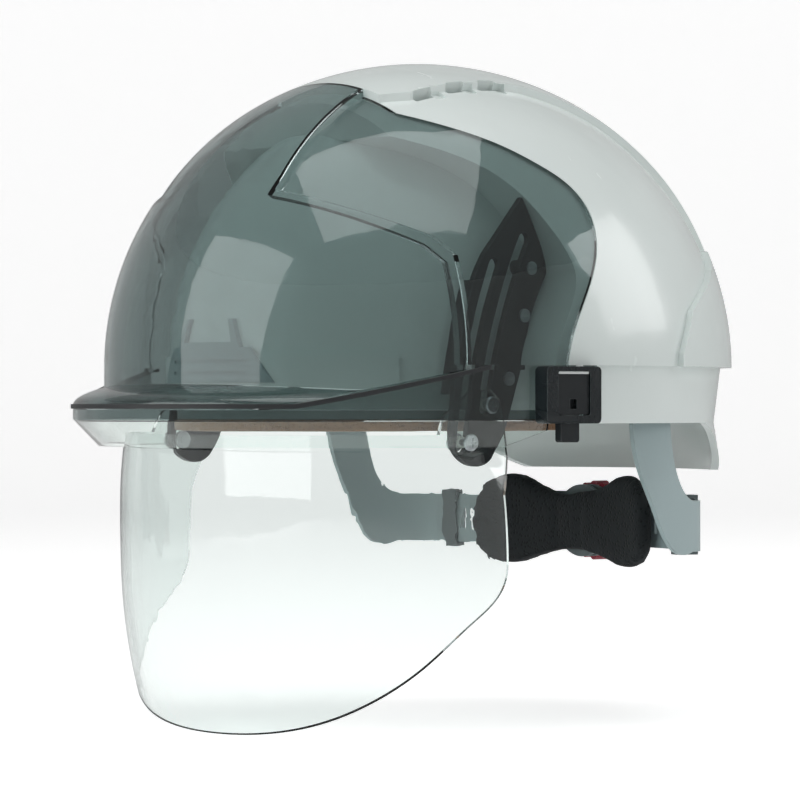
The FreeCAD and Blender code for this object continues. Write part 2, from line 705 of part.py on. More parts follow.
def build_side_slots():
    """Accessory slot on each side: a bezel on the cover's skirt and a black block in it."""
    outer = 116.0
    bezel = rounded_slab(28, 21.5, 14, 2.0, (outer - 7, SLOT_MIDDLE_Y, 13.8), "x")
    bezel = bezel.cut(rounded_slab(16.6, 16.6, 30, 1.0, (outer, SLOT_MIDDLE_Y, 14.4), "x"))
    well = Part.Face(oval_wire(size("peak_half_width") + 0.05, size("peak_half_length") + 0.05,
                               size("dome_middle_y"), -20)).extrude(Vector(0, 0, 80))
    bezel = bezel.cut(well)
    block = rounded_slab(16, 16, 9, 1.2, (outer - 5.2, SLOT_MIDDLE_Y, 14.4), "x")
    tongue = rounded_slab(9.4, 14, 3.2, 1.2, (outer - 2.4, SLOT_MIDDLE_Y - 1.5, 3), "x")
    window = rounded_slab(3.6, 3.8, 3, 0.5, (outer - 0.9, SLOT_MIDDLE_Y, 10.4), "x")
    rib = Part.makeBox(3.0, 0.8, 3.2, Vector(outer - 3.4, SLOT_MIDDLE_Y + 4, 22.0))
    cap = Part.makeBox(3.6, 15.4, 0.9, Vector(outer - 3.9, SLOT_MIDDLE_Y - 7.7, 21.7))
    block = block.fuse(tongue).cut(window).cut(well)
    clip = cap.cut(block).fuse(rib.cut(block)).cut(well)
    bezel = bezel.cut(block).cut(clip)
    return (feature("slot_bezel_left", bezel), feature("slot_bezel_right", mirror_x(bezel)),
            feature("slot_block_left", block), feature("slot_block_right", mirror_x(block)),
            feature("slot_clips", both_sides(clip)))


# ---------------------------------------------------------------- headband and cradle

def oval_ring(outer_x, outer_y, wall, bottom, top, middle_y=0.0):
    outer = Part.Face(oval_wire(outer_x, outer_y, middle_y, bottom))
    inner = Part.Face(oval_wire(outer_x - wall, outer_y - wall, middle_y, bottom))
    return outer.cut(inner).extrude(Vector(0, 0, top - bottom))


def build_headband():
    half_x, half_y = size("band_half_width"), size("band_half_length")
    wall, height = size("band_wall"), size("band_height")
    fold = 4.6
    rear_cut = side_prism([(-200, -10), (-200, 60), (44, 60), (52, 30), (52, -10)])
    band = oval_ring(half_x, half_y, wall, fold, fold + height)
    band = band.common(rear_cut)
    windows = [Part.makeBox(4.0, 300, 8, Vector(x - 2, -150, 14)) for x in (-44, -30, 30, 44)]
    band = band.cut(Part.makeCompound(windows).common(side_prism([(-200, 0), (-200, 60), (-40, 60),
                                                                  (-40, 0)])))
    pad = oval_ring(half_x - wall - 0.1, half_y - wall - 0.1, size("sweatband_wall"), fold - 0.1,
                    fold + height)
    hem = oval_ring(half_x + 1.6, half_y + 1.6, size("sweatband_wall") + 3.3, -0.2, fold - 0.1)
    front = side_prism([(-200, -10), (-200, 60), (14, 60), (14, -10)])
    sweat = pad.fuse(hem).common(front)
    return feature("headband", band), feature("sweatband", sweat)


STRAP_ANGLES = (90, 30, -30)


def strap_reach(angle):
    """Distance from the middle of the head to a strap's end."""
    across, along = size("cradle_half_width"), size("cradle_half_length")
    return 1 / math.hypot(math.cos(math.radians(angle)) / across,
                          math.sin(math.radians(angle)) / along)


def build_cradle():
    """Three webbing straps over the head, one above the other where they cross."""
    straps = []
    wall, width, low = size("strap_wall"), size("strap_width"), size("strap_end_level")
    for number, angle in enumerate(STRAP_ANGLES):
        reach = strap_reach(angle)
        rise = size("crown_level") + 2.0 * number - low

        def arch(inset):
            return Part.Face(Part.Wire([arch_curve(reach - inset, rise - inset),
                                        Part.makeLine(Vector(-(reach - inset), 0, 0),
                                                      Vector(reach - inset, 0, 0))]))

        strap = arch(0).cut(arch(wall)).extrude(Vector(0, width, 0))
        strap.translate(Vector(0, -width / 2, low))
        strap.rotate(Vector(), Vector(0, 0, 1), angle)
        straps.append(feature(f"cradle_strap_{number + 1}", strap))
    return straps


def arch_curve(half, height):
    """Half ellipse in the XZ plane, standing on the X axis."""
    if half >= height:
        ellipse = Part.Ellipse(Vector(half, 0, 0), Vector(0, 0, height), Vector())
    else:
        ellipse = Part.Ellipse(Vector(0, 0, height), Vector(-half, 0, 0), Vector())
    whole = Part.Face(Part.Wire([ellipse.toShape()]))
    above = Part.makeBox(2 * half + 4, 2, height + 4, Vector(-half - 2, -1, 0))
    edges = [e for e in whole.common(above).Edges if e.BoundBox.ZMax > 0.01]
    return Part.Wire(edges)


def build_keys():
    """Six hanger keys: each holds a strap end over the headband and plugs into the shell."""
    keys = []
    wall, low = size("shell_wall"), size("strap_end_level")
    room = ellipsoid(size("inner_half_width") - wall - 0.1, size("inner_half_length") - wall - 0.1,
                     size("inner_height") - wall - 0.1, size("inner_middle_y"))
    rear = ellipsoid(size("dome_half_width") - wall - 2.5, size("dome_half_length") - wall - 0.1,
                     size("dome_height") - wall - 2.5, size("dome_middle_y"))
    rear = rear.common(side_prism([(1.6, 0), (1.6, 160), (200, 160), (200, 0)]))
    room = room.fuse(rear)
    for angle in STRAP_ANGLES:
        for turn in (angle, angle + 180):
            start = strap_reach(angle) + 0.1
            key = Part.makeBox(80, 13, 8, Vector(start, -6.5, low - 0.2))
            key.rotate(Vector(), Vector(0, 0, 1), turn)
            keys.extend(key.common(room).Solids)
    return feature("hanger_keys", Part.makeCompound(keys))


def ellipsoid(half_width, half_length, height, middle_y):
    """Ellipsoid of the given half sizes, centred on the rim line."""
    scale = FreeCAD.Matrix()
    scale.scale(half_width, half_length, height)
    scale.move(Vector(0, middle_y, size("rim_level")))
    return Part.makeSphere(1).transformGeometry(scale)


def build_brow():
    """Brow bracket: a ribbed plate that hugs the front of the inner dome, and a bracket above."""
    def slab(low_half, top_half, low, top):
        points = [(-low_half, low), (low_half, low), (top_half, top), (-top_half, top)]
        face = Part.Face(outline_wire([Vector(x, -130, z) for x, z in points]))
        return face.extrude(Vector(0, 70, 0))

    def skin(inner, outer):
        half = [size("inner_half_width"), size("inner_half_length"), size("inner_height")]
        middle = size("inner_middle_y")
        shell = ellipsoid(*[value + outer for value in half], middle)
        core = ellipsoid(*[value + inner for value in half], middle)
        low_shell = Part.Face(oval_wire(half[0] + outer, half[1] + outer, middle, 0))
        low_core = Part.Face(oval_wire(half[0] + inner, half[1] + inner, middle, 0))
        rise = Vector(0, 0, size("rim_level"))
        above = Part.makeBox(400, 400, 100, Vector(-200, -200, size("rim_level")))
        upper = shell.cut(core).common(above)
        return upper.fuse(low_shell.cut(low_core).extrude(rise))

    plate = slab(33, 23.5, 18.5, 32)
    for level in (21.5, 26.0):
        plate = plate.cut(Part.makeBox(44, 60, 1.3, Vector(-22, -130, level)))
    upper = slab(18.5, 14, 32, 43).cut(slab(14.5, 11.5, 34, 44))
    shape = slab(33, 23.5, 18.5, 32).common(skin(1.55, 1.75))
    shape = shape.fuse([plate.common(skin(1.7, 2.4)), upper.common(skin(0.05, 2.0))])
    core = Part.Face(oval_wire(size("inner_half_width") + 1.5, size("inner_half_length") + 1.5,
                               size("inner_middle_y"), 0)).extrude(Vector(0, 0, 29))
    return feature("brow_bracket", shape.cut(core))


# ---------------------------------------------------------------- nape band and ratchet

def nape_ring(inner, outer, low, high):
    """Part of a tall ring about the nape arc's centre, which lies ahead of the nape."""
    centre = Vector(0, size("nape_arc_y"), low)
    ring = Part.makeCylinder(outer, high - low, centre)
    ring = ring.cut(Part.makeCylinder(inner, high - low, centre))
    behind_head = Part.makeBox(400, 300, high - low, Vector(-200, 20, low))
    return ring.common(behind_head)


ARM_PLAN = [(93.1, 34), (93.1, 52), (91.8, 66), (86.8, 79.2), (80.2, 85.6), (74.3, 88.2),
            (68.5, 90.6)]


def arm_plan():
    """Plan outline of the left arm's wall: straight beside the head, then round the nape."""
    wall = size("arm_wall")
    outer = [Vector(x, y, 0) for x, y in ARM_PLAN]
    spline = Part.BSplineCurve()
    spline.interpolate(outer)
    inner = []
    steps = 12
    for step in range(steps + 1):
        at = spline.FirstParameter + (spline.LastParameter - spline.FirstParameter) * step / steps
        way = spline.tangent(at)[0]
        inner.append(spline.value(at) + Vector(-way.y, way.x, 0) * wall)
    back = Part.BSplineCurve()
    back.interpolate(inner[::-1])
    return Part.Face(Part.Wire([spline.toShape(), Part.makeLine(outer[-1], inner[-1]),
                                back.toShape(), Part.makeLine(inner[0], outer[0])]))


def build_arms():
    level = size("nape_level")
    face = arm_plan()
    face.translate(Vector(0, 0, -60))
    strip = face.extrude(Vector(0, 0, 90))
    profile = [(38, 19), (36.5, 2), (40, -14), (48, -30), (60, level - 9.5), (72, level - 10),
               (100, level - 10), (100, level + 10), (76, level + 10), (68, level + 12),
               (60, -14), (57, 2), (56, 19), (47, 23)]
    arm = strip.common(side_prism(profile, curve=((1, 5), (8, 11), (12, 14)), start=0))
    x = size("arm_x")
    bore = size("peg_radius") + size("running_gap")
    arm = arm.cut(disc(bore, 20, (x - 10, size("arm_pivot_y"), size("arm_pivot_z")), (1, 0, 0)))
    return feature("side_arm_left", arm), feature("side_arm_right", mirror_x(arm))


def build_pegs():
    """Pivot pegs of the arms: a shoulder through the arm, a head inside, a foot in the shell."""
    _, inside = skirt_ring(0.05)
    room = feature("peg_room", inside)
    at = ("{arm_pivot_y}", "{arm_pivot_z}")
    shaft = rod("peg_shaft", "{peg_radius}", "40", "{arm_x} - 2.4", *at, ALONG_X)
    foot = box("peg_foot", "30", "13", "12", "{arm_x} + 2", "{arm_pivot_y} - 6.5",
               "{arm_pivot_z} - 6")
    head = rod("peg_head", "5", "1.6", "{arm_x} - 3.4", *at, ALONG_X)
    body = common("peg_body", fuse("peg_blank", shaft, foot), room)
    return pair("arm_pegs", fuse("arm_peg", body, head))


def build_racks():
    """Rear straps: each carries a toothed bar into the ratchet case."""
    radius, wall, level = size("nape_arc_radius"), size("rack_wall"), size("nape_level")
    ring = nape_ring(radius - wall / 2, radius + wall / 2, level - 10, level + 10)
    pitch = size("rack_pitch")
    pitch_radius = pitch * size("pinion_teeth") / (2 * math.pi)

    def strap():
        body = ring.common(plan_prism([(30, 60), (74, 60), (74, 120), (30, 120)], level - 10,
                                      level + 10))
        low = level + pitch_radius + 1.6
        bar = ring.common(Part.makeBox(50, 80, level + 9 - low, Vector(-16, 60, low)))
        shape = body.fuse(bar)
        for number in range(-5, 7):
            middle = (number + 0.5) * pitch
            turn = math.degrees(middle / radius)
            tooth = rack_tooth(low + 0.3, low - 1.5, 1.0, 0.45)
            tooth.translate(Vector(0, radius - wall / 2, 0))
            tooth.rotate(Vector(), Vector(0, 0, 1), -turn)
            tooth.translate(Vector(0, size("nape_arc_y"), 0))
            if -15 < middle < 30:
                shape = shape.fuse(tooth)
        for number in range(6):
            turn = -math.degrees((44 + 5.0 * number) / radius)
            dent = rounded_slab(1.6, 9, 6, 0.5, (0, radius, level))
            dent.rotate(Vector(), Vector(0, 0, 1), turn)
            dent.translate(Vector(0, size("nape_arc_y"), 0))
            shape = shape.cut(dent)
        return shape

    left = strap()
    right = left.copy()
    right.rotate(Vector(0, 0, level), Vector(0, 1, 0), 180)
    return feature("rack_strap_left", left), feature("rack_strap_right", right)


def build_ratchet():
    radius, wall, level = size("nape_arc_radius"), size("rack_wall"), size("nape_level")
    middle_y = size("nape_arc_y") + radius
    inside, outside = radius - wall / 2 - 0.35, radius + wall / 2 + 0.35

    # pad against the neck: wide lobes joined by a waist
    pad_ring = nape_ring(inside - 9.2, inside - 1.9, level - 25, level + 25)
    lobes = [(0, level + 12), (-16, level + 14), (-36, level + 20), (-48, level + 13),
             (-51, level), (-49, level - 13), (-36, level - 19), (-16, level - 14.5),
             (0, level - 12.5), (16, level - 14.5), (36, level - 19), (49, level - 13),
             (51, level), (48, level + 13), (36, level + 20), (16, level + 14)]
    spline = Part.BSplineCurve()
    spline.interpolate([Vector(x, 0, z) for x, z in lobes], PeriodicFlag=True)
    outline = Part.Face(Part.Wire([spline.toShape()])).extrude(Vector(0, 200, 0))
    feature("nape_pad", pad_ring.common(outline))

    # case in two halves, with the straps between them
    wings = rounded_slab(76, 24, 260, 5, (0, middle_y - 100, level))
    boss = disc(15, 260, (0, middle_y - 230, level), (0, 1, 0))
    plate = wings.fuse(boss)
    front = nape_ring(inside - 1.8, inside, level - 25, level + 25).common(plate)
    back = nape_ring(outside, outside + size("case_wall"), level - 25, level + 25).common(plate)
    rims = nape_ring(inside, outside, level - 12, level + 12).common(plate)
    rims = rims.cut(Part.makeBox(400, 300, 20.8, Vector(-200, 0, level - 10.4)))
    hub = disc(size("axle_radius") + size("running_gap"), 12, (0, middle_y - 1, level), (0, 1, 0))
    front = front.fuse(rims).removeSplitter()
    back = back.cut(hub)
    feature("ratchet_case_front", front)
    feature("ratchet_case_back", back)


def rack_tooth(root, tip, foot_half, tip_half):
    """Tooth that points up from the root line to the tip line, as thick as the rack."""
    points = [(-foot_half, root), (foot_half, root), (tip_half, tip), (-tip_half, tip)]
    face = Part.Face(outline_wire([Vector(x, 0, z) for x, z in points]))
    return face.extrude(Vector(0, size("rack_wall"), 0))


def build_knob():
    """Pinion, click spring, knob and screw: they turn together on the ratchet's axis."""
    wall, level = size("rack_wall"), size("nape_level")
    middle_y = size("nape_arc_y") + size("nape_arc_radius")
    teeth = int(size("pinion_teeth"))
    pitch_radius = size("rack_pitch") * teeth / (2 * math.pi)
    middle = "{nape_arc_y} + {nape_arc_radius}"
    start = middle + " + {rack_wall} / 2 + 0.35 + {case_wall} + 0.5"
    end = start + " + {knob_width}"
    knob_y = middle_y + wall / 2 + 0.35 + size("case_wall") + 0.5

    def along(name, radius, length, y):
        return rod(name, radius, length, "0", y, "{nape_level}", ALONG_Y)

    ring = []
    for number in range(teeth):
        tooth = rack_tooth(pitch_radius - 1.8, pitch_radius + 0.9, 1.0, 0.45)
        tooth.rotate(Vector(), Vector(0, 1, 0), 360.0 * number / teeth)
        tooth.translate(Vector(0, middle_y - wall / 2, level))
        ring.append(tooth)
    pinion_blank = fuse("pinion_blank", feature("pinion_teeth_ring", ring[0].fuse(ring[1:])),
                        along("pinion_disc", f"{pitch_radius - 1.4}", "{rack_wall}",
                              middle + " - {rack_wall} / 2"),
                        along("pinion_axle", "{axle_radius}", "5", middle))
    cut("pinion", pinion_blank, along("pinion_bore", "1.4", "20", middle + " - 10"))

    ribs = []
    for number in range(18):
        turn = math.radians(20.0 * number)
        reach = size("knob_radius") - 1.8
        ribs.append(rod(f"knob_rib_{number}", "1.8", "{knob_width} - 2.5",
                        f"{reach * math.sin(turn)}", start,
                        "{nape_level} + " + f"({reach * math.cos(turn)})", ALONG_Y))
    body = along("knob_body", "{knob_radius} - 1.6", "{knob_width} - 2", start)
    face = cone("knob_face", "{knob_radius} - 1.6", "{knob_radius} - 3.6", "2", "0",
                start + " + {knob_width} - 2", "{nape_level}", ALONG_Y)
    recesses = fuse("knob_recesses",
                    along("knob_axle_recess", "{axle_radius}", f"{middle_y + 5 - knob_y}", start),
                    washer("knob_groove", "9.5", "6.5", "2.2", "0", start, "{nape_level}",
                           ALONG_Y),
                    along("knob_bore", "1.4", "30", start + " - 5"),
                    along("knob_head_recess", "4.2", "2.4", end + " - 2.4"))
    cut("ratchet_knob", fuse("knob_blank", body, face, *ribs), recesses)

    cut("click_spring",
        washer("spring_ring", "9.2", "6.9", "1.2", "0", start + " + 0.9", "{nape_level}", ALONG_Y),
        box("spring_gap", "3", "4", "12", "-1.5", start, "{nape_level}"))

    shank = along("knob_screw_shank", "1.35", f"{knob_y - middle_y} + " + "{knob_width} - 1.9",
                  middle + " - {rack_wall} / 2 + 0.2")
    head = along("knob_screw_head", "3.2", "1.5", end + " - 2.4")
    cross = fuse("knob_screw_cross",
                 box("knob_screw_slot_a", "4.2", "0.8", "0.8", "-2.1", end + " - 1.6",
                     "{nape_level} - 0.4"),
                 box("knob_screw_slot_b", "0.8", "0.8", "4.2", "-0.4", end + " - 1.6",
                     "{nape_level} - 2.1"))
    cut("knob_screw", fuse("knob_screw_blank", shank, head), cross)


def build_keepers():
    """Loops that hold each rear strap against its arm."""
    radius, level = size("nape_arc_radius"), size("nape_level")
    inner = nape_ring(radius - 1.4, radius + 5.0, level - 10.6, level + 10.6)
    outer = nape_ring(radius - 2.8, radius + 6.4, level - 12, level + 12)
    wedge = Part.makeBox(6, 60, 60, Vector(-3, 160, level - 30))
    wedge.rotate(Vector(), Vector(0, 0, 1), -size("keeper_turn"))
    wedge.translate(Vector(0, size("nape_arc_y"), 0))
    mirrored("strap_keeper_right", feature("strap_keeper_left", outer.cut(inner).common(wedge)))


# ---------------------------------------------------------------- build, check and write

def build_all():
    build_shell()
    build_skirt()
    build_cover()
    build_lip()
    build_trim()
    build_shield()
    build_guides()
    build_guide_screws()
    build_shield_hardware()
    build_side_slots()
    build_headband()
    build_cradle()
    build_keys()
    build_brow()
    build_arms()
    build_pegs()
    build_racks()
    build_ratchet()
    build_knob()
    build_keepers()


NODES = ["shell", "shell_skirt", "front_cover", "peak_lip", "peak_trim", "visor", "guide_plate_left",
         "guide_plate_right", "guide_screws", "visor_screws", "visor_bushes", "visor_nuts",
         "slot_bezel_left", "slot_bezel_right", "slot_block_left", "slot_block_right",
         "slot_clips", "headband", "sweatband", "cradle_strap_1", "cradle_strap_2",
         "cradle_strap_3", "hanger_keys", "brow_bracket", "side_arm_left", "side_arm_right",
         "arm_pegs", "rack_strap_left", "rack_strap_right", "nape_pad", "ratchet_case_front",
         "ratchet_case_back", "pinion", "ratchet_knob", "click_spring", "knob_screw",
         "strap_keeper_left", "strap_keeper_right"]

build_all()
doc.recompute()
for obj in doc.Objects:
    if "Invalid" in obj.State or "Error" in obj.State:
        raise RuntimeError(f"{obj.Name} failed: {obj.State}")
shapes = {label: doc.getObject(label).Shape for label in NODES}
for label, shape in shapes.items():
    if shape.isNull() or not shape.isValid():
        raise RuntimeError(f"{label} has no valid shape")
    box_of = shape.BoundBox
    print(f"{label:20s} {len(shape.Solids)} solids  {shape.Volume / 1000:8.2f} cm3",
          f"{box_of.XLength:6.1f} x {box_of.YLength:6.1f} x {box_of.ZLength:6.1f} mm")
os.makedirs("parts", exist_ok=True)
for label, shape in shapes.items():
    shape.exportStep(f"parts/{label}.step")
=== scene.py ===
import math

import bpy
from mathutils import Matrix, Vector


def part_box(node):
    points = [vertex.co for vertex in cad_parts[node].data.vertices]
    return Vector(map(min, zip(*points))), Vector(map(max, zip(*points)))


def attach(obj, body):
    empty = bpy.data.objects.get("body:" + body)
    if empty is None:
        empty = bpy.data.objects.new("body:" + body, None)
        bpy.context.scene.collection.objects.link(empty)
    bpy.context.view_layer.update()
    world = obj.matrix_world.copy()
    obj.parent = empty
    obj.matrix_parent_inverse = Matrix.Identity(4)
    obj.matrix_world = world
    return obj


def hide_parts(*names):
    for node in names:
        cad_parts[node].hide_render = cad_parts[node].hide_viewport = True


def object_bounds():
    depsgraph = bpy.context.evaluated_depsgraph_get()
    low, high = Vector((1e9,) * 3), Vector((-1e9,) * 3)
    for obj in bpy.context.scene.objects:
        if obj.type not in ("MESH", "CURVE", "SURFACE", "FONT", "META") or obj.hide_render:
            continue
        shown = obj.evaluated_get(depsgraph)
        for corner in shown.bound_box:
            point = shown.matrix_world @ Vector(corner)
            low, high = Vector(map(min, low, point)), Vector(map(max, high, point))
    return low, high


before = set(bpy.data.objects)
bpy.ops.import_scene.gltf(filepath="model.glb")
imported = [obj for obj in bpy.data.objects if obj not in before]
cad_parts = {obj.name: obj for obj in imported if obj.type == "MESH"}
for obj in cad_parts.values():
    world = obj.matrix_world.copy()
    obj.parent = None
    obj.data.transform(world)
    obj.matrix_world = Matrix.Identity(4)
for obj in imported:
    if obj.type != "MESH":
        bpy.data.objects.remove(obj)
cad_low, cad_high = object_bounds()

PLACE = "NodeSocketVector"
NUMBER = "NodeSocketFloat"

# lengths in metres
STRAP_WALL, STRAP_CLOTH, STRAP_WIDTH = 0.0012, 0.0010, 0.019
STRAP_ANGLES = (90, 30, -30)          # degrees from the wearer's left
CRADLE_HALF_WIDTH, CRADLE_HALF_LENGTH = 0.0775, 0.092
FILLING_STEPS = 20                    # steps of the simulation that fills a soft piece
SEAM_DEPTH, SEAM_HALF_WIDTH = 0.0007, 0.0011
PUCKERS = 150                         # waves of a seam all the way round
FLOOR_RADIUS, COVE_RADIUS, COVE_STEPS, WALL_RISE = 3.2, 0.9, 8, 1.6
FLOOR_GLOW = 0.56                     # strength of the floor's own light where it is seen
SKY_LIGHT = 0.22                      # strength of the surroundings where they only light


# ---------------------------------------------------------------- node helpers

def add(tree, kind, sockets=None, **settings):
    """New node with its settings, and each of its sockets given a link or a number."""
    made = tree.nodes.new(kind)
    for name, value in settings.items():
        setattr(made, name, value)
    for name, value in (sockets or {}).items():
        if isinstance(value, bpy.types.NodeSocket):
            tree.links.new(value, made.inputs[name])
        else:
            made.inputs[name].default_value = value
    return made


def sums(tree, operation, first, second, clamp=False):
    """Result of a Math node."""
    return add(tree, "ShaderNodeMath", {0: first, 1: second}, operation=operation,
               use_clamp=clamp).outputs[0]


def tinted(tree, share, first, second):
    """Colour that goes from the first to the second as share rises."""
    made = tree.nodes.new("ShaderNodeMix")
    made.data_type = "RGBA"
    for index, value in ((0, share), (6, first), (7, second)):
        if isinstance(value, bpy.types.NodeSocket):
            tree.links.new(value, made.inputs[index])
        else:
            made.inputs[index].default_value = value
    return made.outputs[2]


def ranged(tree, value, low, high, out_low=0.0, out_high=1.0):
    """Value taken from one range to another, and held there."""
    return add(tree, "ShaderNodeMapRange",
               {"Value": value, "From Min": low, "From Max": high, "To Min": out_low,
                "To Max": out_high}).outputs[0]


def effect(name, inputs, outputs):
    """Empty shader node group with these inputs and outputs."""
    tree = bpy.data.node_groups.new(name, "ShaderNodeTree")
    for label, kind, start in inputs:
        socket = tree.interface.new_socket(name=label, in_out="INPUT", socket_type=kind)
        if start is not None:
            socket.default_value = start
    for label in outputs:
        tree.interface.new_socket(name=label, in_out="OUTPUT", socket_type=NUMBER)
    return tree, tree.nodes.new("NodeGroupInput"), tree.nodes.new("NodeGroupOutput")


# ---------------------------------------------------------------- effects shared by the finishes

def moulding_grain():
    """Fine grain of moulded plastic, and the slow change of tone under it."""
    tree, given, out = effect("moulding_grain", [("Place", PLACE, None), ("Size", NUMBER, 900.0)],
                              ["Height", "Tone"])
    fine = add(tree, "ShaderNodeTexNoise", {"Vector": given.outputs["Place"],
                                            "Scale": given.outputs["Size"], "Detail": 3.0})
    slow = add(tree, "ShaderNodeTexNoise", {"Vector": given.outputs["Place"], "Scale": 14.0,
                                            "Detail": 2.0, "Roughness": 0.4})
    tree.links.new(fine.outputs[0], out.inputs["Height"])
    tree.links.new(ranged(tree, slow.outputs[0], 0.35, 0.65), out.inputs["Tone"])
    return tree


def handling_scuffs():
    """Long faint scratches in two directions, in patches."""
    tree, given, out = effect("handling_scuffs", [("Place", PLACE, None), ("Size", NUMBER, 60.0),
                                                  ("Amount", NUMBER, 0.5)], ["Scuff"])
    lines = []
    for turn, stretch in (((0.3, 0.5, 0.2), (1.0, 0.05, 3.0)), ((0.9, 0.1, 1.1), (0.06, 2.5, 1.0))):
        turned = add(tree, "ShaderNodeMapping", {"Vector": given.outputs["Place"],
                                                 "Rotation": turn, "Scale": stretch})
        streak = add(tree, "ShaderNodeTexNoise", {"Vector": turned.outputs[0],
                                                  "Scale": given.outputs["Size"], "Detail": 5.0})
        lines.append(ranged(tree, streak.outputs[0], 0.62, 0.72))
    patch = add(tree, "ShaderNodeTexNoise", {"Vector": given.outputs["Place"], "Scale": 22.0})
    both = sums(tree, "MAXIMUM", lines[0], lines[1])
    patchy = sums(tree, "MULTIPLY", both, ranged(tree, patch.outputs[0], 0.42, 0.62))
    tree.links.new(sums(tree, "MULTIPLY", patchy, given.outputs["Amount"]), out.inputs["Scuff"])
    return tree


def settled_dust():
    """Dust on what faces up, thicker in patches."""
    tree, given, out = effect("settled_dust", [("Place", PLACE, None), ("Amount", NUMBER, 0.1)],
                              ["Dust"])
    facing = add(tree, "ShaderNodeSeparateXYZ",
                 {0: add(tree, "ShaderNodeNewGeometry").outputs["Normal"]}).outputs[2]
    patch = add(tree, "ShaderNodeTexNoise", {"Vector": given.outputs["Place"], "Scale": 45.0,
                                             "Detail": 6.0, "Roughness": 0.7})
    lying = sums(tree, "MULTIPLY", ranged(tree, facing, 0.35, 0.95),
                 ranged(tree, patch.outputs[0], 0.4, 0.7))
    tree.links.new(sums(tree, "MULTIPLY", lying, given.outputs["Amount"]), out.inputs["Dust"])
    return tree


def painted_edge_highlight():
    """Painted highlight: a lighter line along sharp edges, broken up in patches."""
    tree, given, out = effect("painted_edge_highlight", [("Place", PLACE, None), ("Width", NUMBER, 0.0005)],
                              ["Edge"])
    rounded = add(tree, "ShaderNodeBevel", {"Radius": given.outputs["Width"]}, samples=4)
    flat = add(tree, "ShaderNodeNewGeometry").outputs["Normal"]
    likeness = add(tree, "ShaderNodeVectorMath", {0: rounded.outputs[0], 1: flat},
                   operation="DOT_PRODUCT").outputs["Value"]
    broken = add(tree, "ShaderNodeTexNoise", {"Vector": given.outputs["Place"], "Scale": 160.0})
    edge_shine = sums(tree, "MULTIPLY", ranged(tree, likeness, 0.97, 0.8),
                ranged(tree, broken.outputs[0], 0.3, 0.6))
    tree.links.new(edge_shine, out.inputs["Edge"])
    return tree


def cross_weave():
    """Over-and-under threads, counted along and across the cloth."""
    tree, given, out = effect("cross_weave", [("Place", PLACE, None), ("Threads", NUMBER, 600.0)],
                              ["Height", "Tone"])
    waves = []
    for direction in "XY":
        wave = add(tree, "ShaderNodeTexWave", {"Vector": given.outputs["Place"],
                                               "Scale": sums(tree, "MULTIPLY",
                                                             given.outputs["Threads"], 0.3142)},
                   bands_direction=direction)
        waves.append(wave.outputs["Fac"])
    over = add(tree, "ShaderNodeTexChecker", {"Vector": given.outputs["Place"],
                                              "Scale": given.outputs["Threads"]}).outputs["Fac"]
    mix = add(tree, "ShaderNodeMix", {0: over, 2: waves[0], 3: waves[1]})
    fluff = add(tree, "ShaderNodeTexNoise", {"Vector": given.outputs["Place"], "Scale": 90.0,
                                             "Detail": 4.0})
    tree.links.new(mix.outputs[0], out.inputs["Height"])
    tree.links.new(fluff.outputs[0], out.inputs["Tone"])
    return tree


GRAIN, SCUFFS, DUST = moulding_grain(), handling_scuffs(), settled_dust()
EDGE_HIGHLIGHT, WEAVE = painted_edge_highlight(), cross_weave()
DUST_COLOUR = (0.62, 0.60, 0.55, 1.0)


def placed(tree, group, place, **amounts):
    """A shared effect in a material, with its own amounts."""
    made = tree.nodes.new("ShaderNodeGroup")
    made.node_tree = group
    tree.links.new(place, made.inputs["Place"])
    for name, value in amounts.items():
        made.inputs[name].default_value = value
    return made


def blank(name):
    """New material, its shader and the Object coordinates."""
    material = bpy.data.materials.new(name)
    material.use_nodes = True
    tree = material.node_tree
    shader = tree.nodes["Principled BSDF"]
    place = tree.nodes.new("ShaderNodeTexCoord").outputs["Object"]
    return material, tree, shader, place


# ---------------------------------------------------------------- finishes

def moulded(name, colour, tone, rough, grain=900.0, depth=0.00002, edge=None, scuffs=0.5,
            dust=0.06, coat=0.0, metal=0.0, shine=0.5):
    """Moulded or machined finish: grain, scuffs, a little dust and a painted highlight along sharp
    edges.
    """
    material, tree, shader, place = blank(name)
    skin = placed(tree, GRAIN, place, Size=grain)
    marks = placed(tree, SCUFFS, place, Amount=scuffs).outputs["Scuff"]
    lying = placed(tree, DUST, place, Amount=dust).outputs["Dust"]
    shade = tinted(tree, skin.outputs["Tone"], (*colour, 1), (*tone, 1))
    if edge:
        # painted highlight: sharp edges are lightened towards the edge colour
        edge_lit = placed(tree, EDGE_HIGHLIGHT, place).outputs["Edge"]
        shade = tinted(tree, edge_lit, shade, (*edge, 1))
    shade = tinted(tree, lying, shade, DUST_COLOUR)
    gloss = sums(tree, "ADD", sums(tree, "MULTIPLY", marks, 0.25), rough)
    gloss = sums(tree, "ADD", gloss, sums(tree, "MULTIPLY", lying, 0.5), clamp=True)
    bump = add(tree, "ShaderNodeBump", {"Height": skin.outputs["Height"], "Distance": depth})
    tree.links.new(shade, shader.inputs["Base Color"])
    tree.links.new(gloss, shader.inputs["Roughness"])
    tree.links.new(bump.outputs[0], shader.inputs["Normal"])
    shader.inputs["Coat Weight"].default_value = coat
    shader.inputs["Coat Roughness"].default_value = 0.08
    shader.inputs["Metallic"].default_value = metal
    shader.inputs["Specular IOR Level"].default_value = shine
    return material


